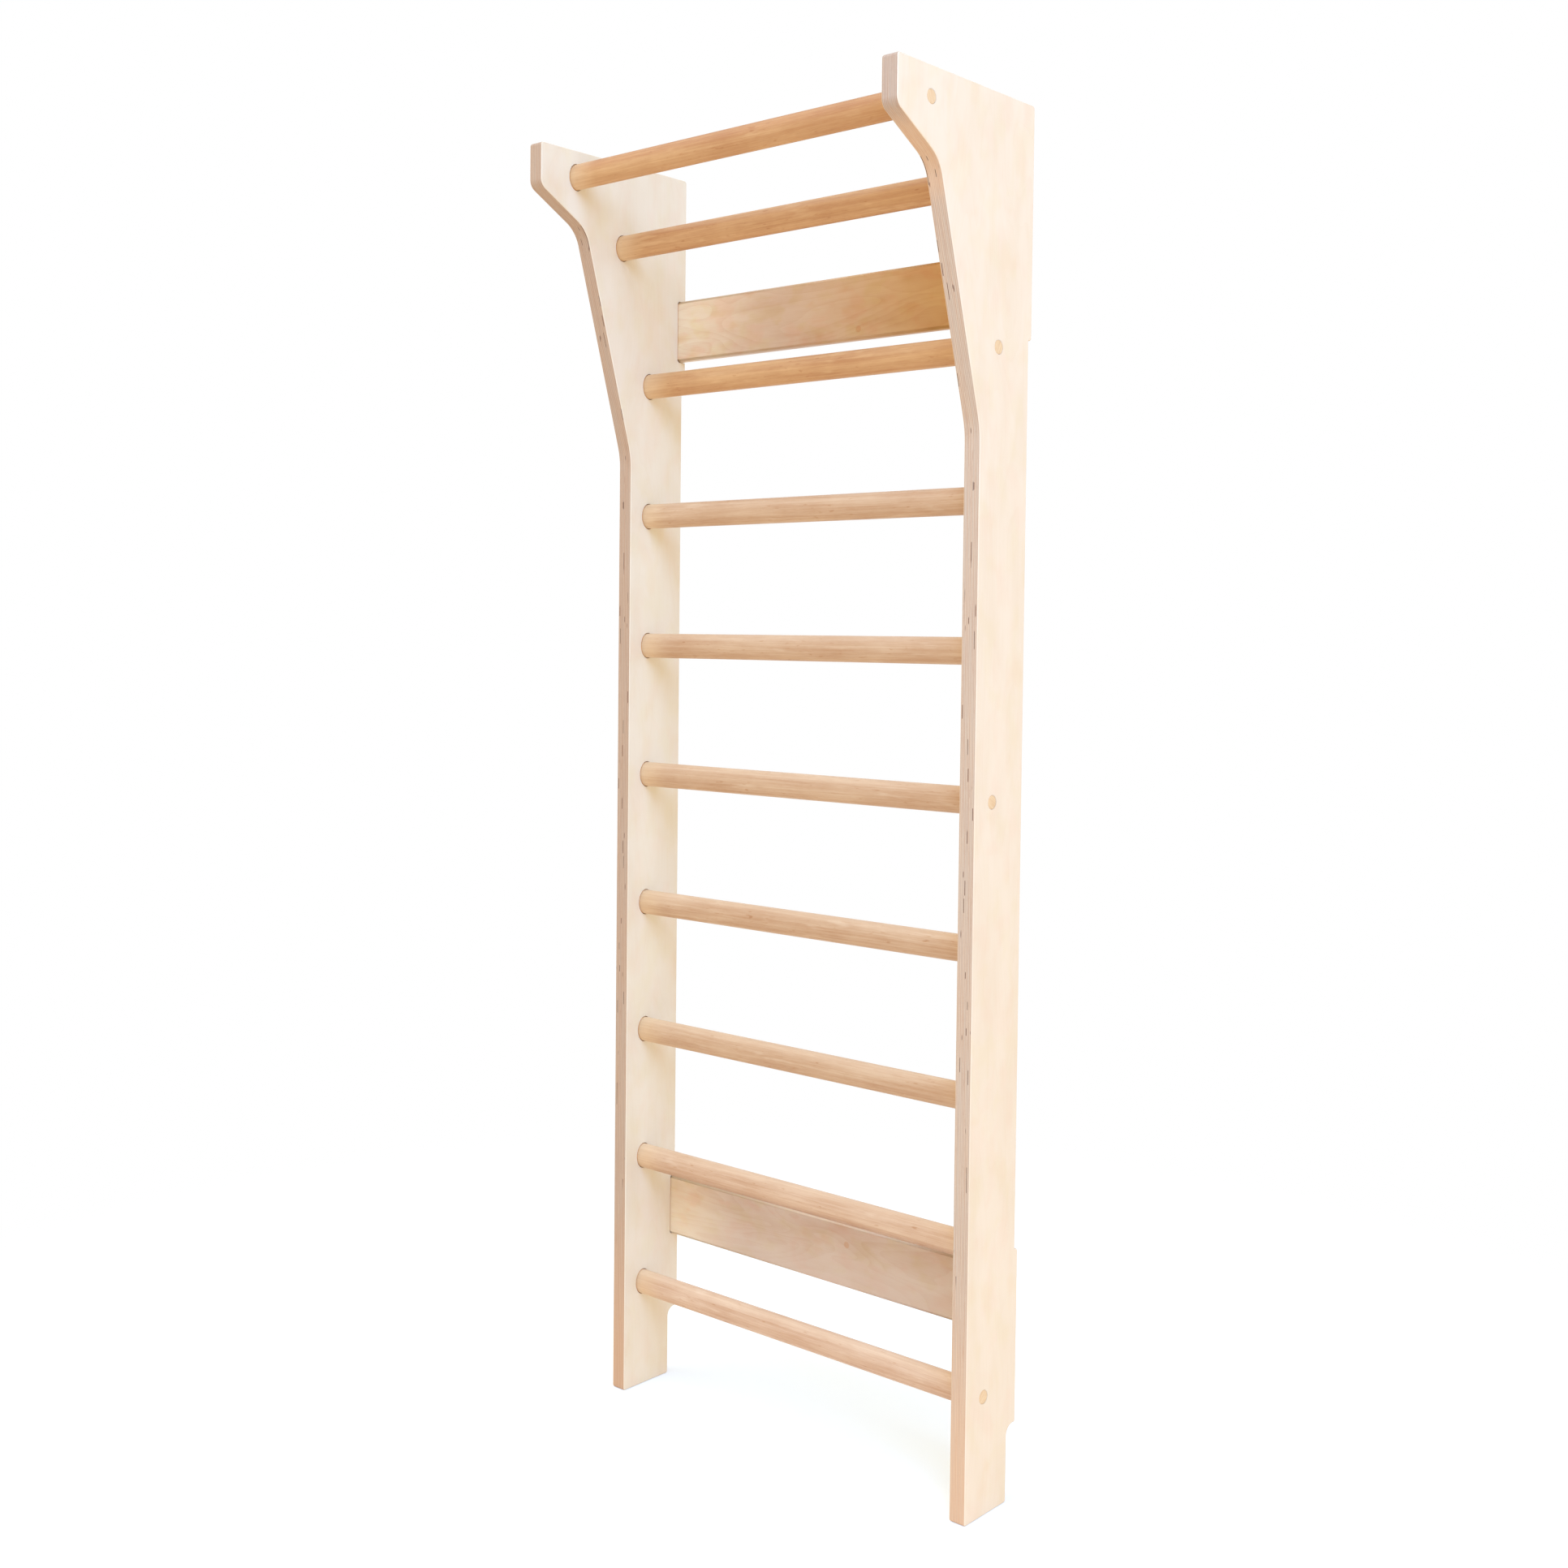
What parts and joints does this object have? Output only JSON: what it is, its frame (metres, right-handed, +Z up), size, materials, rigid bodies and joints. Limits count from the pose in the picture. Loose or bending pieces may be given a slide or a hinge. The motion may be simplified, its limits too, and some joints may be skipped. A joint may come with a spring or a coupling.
{
  "type": "wall bars",
  "caption": "Wooden wall bars: oval rungs between two plywood side panels that flare forward at the head, with cross rails at the back for fixing to a wall.",
  "frame": {"origin": "on the floor, in the middle of the bounding box's width and depth", "axes": "+Z up, +Y towards the wall behind the unit, +X to the right seen from the front"},
  "size_m": [0.717, 0.325, 2.0241],
  "materials": {
    "birch_ply": "clear satin lacquer on birch plywood, layered edges",
    "rung_wood": "clear satin lacquer on solid wood, grain along the rung",
    "rail_ply": "clear satin lacquer on plywood, grain along the rail",
    "plug_wood": "clear satin lacquer on a turned wooden plug",
    "zinc_steel": "bright zinc plate"
  },
  "bodies": {
    "root": {"side_panel_left": "birch_ply", "side_panel_right": "birch_ply", "rung_01": "rung_wood", "rung_02": "rung_wood", "rung_03": "rung_wood", "rung_04": "rung_wood", "rung_05": "rung_wood", "rung_06": "rung_wood", "rung_07": "rung_wood", "rung_08": "rung_wood", "rung_09": "rung_wood", "rung_10": "rung_wood", "rail_upper": "rail_ply", "rail_lower": "rail_ply", "cover_plug_left_01": "plug_wood", "cover_plug_left_03": "plug_wood", "cover_plug_left_06": "plug_wood", "cover_plug_left_10": "plug_wood", "cover_plug_right_01": "plug_wood", "cover_plug_right_03": "plug_wood", "cover_plug_right_06": "plug_wood", "cover_plug_right_10": "plug_wood", "screw_left_01": "zinc_steel", "screw_left_03": "zinc_steel", "screw_left_06": "zinc_steel", "screw_left_10": "zinc_steel", "screw_right_01": "zinc_steel", "screw_right_03": "zinc_steel", "screw_right_06": "zinc_steel", "screw_right_10": "zinc_steel"}
  },
  "joints": []
}
